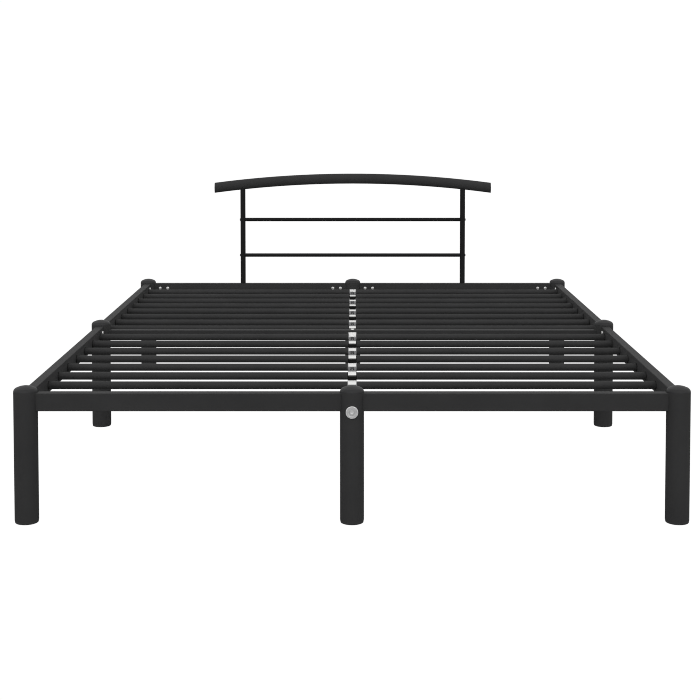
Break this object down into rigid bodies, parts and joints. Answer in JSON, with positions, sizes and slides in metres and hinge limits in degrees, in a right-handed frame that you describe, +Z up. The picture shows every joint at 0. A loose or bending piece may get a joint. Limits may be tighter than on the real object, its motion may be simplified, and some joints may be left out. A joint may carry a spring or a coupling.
{
  "type": "metal bed frame",
  "caption": "Freestanding tubular steel double bed frame with round legs, rectangular rails, round cross slats on a centre beam, and a low headboard with an arched top rail.",
  "frame": {"origin": "on the floor, under the middle of the bed", "axes": "+Z up, +Y along the bed towards the headboard, +X to the right seen from the foot end"},
  "size_m": [1.69, 2.097, 0.7649],
  "materials": {
    "black_coat": "fine-textured satin powder coat",
    "black_screws": "black-coated steel",
    "cap_plastic": "satin moulded plastic",
    "foot_plastic": "satin moulded plastic",
    "black_plastic": "matt moulded plastic",
    "grey_plastic": "matt moulded plastic",
    "white_strip": "smooth white nylon",
    "zinc": "bright zinc plating"
  },
  "bodies": {
    "root": {"center_beam_foot": "black_coat", "center_beam_head": "black_coat", "center_joint_bolt": "zinc", "center_joint_bracket": "zinc", "center_leg_bolts": "zinc", "center_strip_foot": "white_strip", "center_strip_head": "white_strip", "clip_screws": "zinc", "headboard_bar_lower": "black_coat", "headboard_bar_screws": "black_screws", "headboard_bar_upper": "black_coat", "headboard_end_caps": "cap_plastic", "headboard_post_bolts": "zinc", "headboard_post_left": "black_coat", "headboard_post_right": "black_coat", "headboard_top_rail": "black_coat", "leg_caps_foot": "cap_plastic", "leg_caps_head": "cap_plastic", "leg_caps_middle": "cap_plastic", "leg_feet_foot": "foot_plastic", "leg_feet_head": "foot_plastic", "leg_feet_middle": "foot_plastic", "leg_foot_center": "black_coat", "leg_foot_left": "black_coat", "leg_foot_right": "black_coat", "leg_head_center": "black_coat", "leg_head_left": "black_coat", "leg_head_right": "black_coat", "leg_middle_left": "black_coat", "leg_middle_right": "black_coat", "rail_bolts": "zinc", "rail_cross_middle": "black_coat", "rail_foot_left": "black_coat", "rail_foot_right": "black_coat", "rail_head_left": "black_coat", "rail_head_right": "black_coat", "rail_nuts": "zinc", "rail_side_left_foot": "black_coat", "rail_side_left_head": "black_coat", "rail_side_right_foot": "black_coat", "rail_side_right_head": "black_coat", "slat_clips": "grey_plastic", "slat_joiners": "black_plastic", "slat_row_01": "black_coat", "slat_row_02": "black_coat", "slat_row_03": "black_coat", "slat_row_04": "black_coat", "slat_row_05": "black_coat", "slat_row_06": "black_coat", "slat_row_07": "black_coat", "slat_row_08": "black_coat", "slat_row_09": "black_coat", "slat_row_10": "black_coat", "slat_row_11": "black_coat", "slat_row_12": "black_coat", "slat_row_13": "black_coat", "slat_row_14": "black_coat", "slat_row_15": "black_coat", "slat_row_16": "black_coat", "slat_sockets": "black_plastic"}
  },
  "joints": []
}
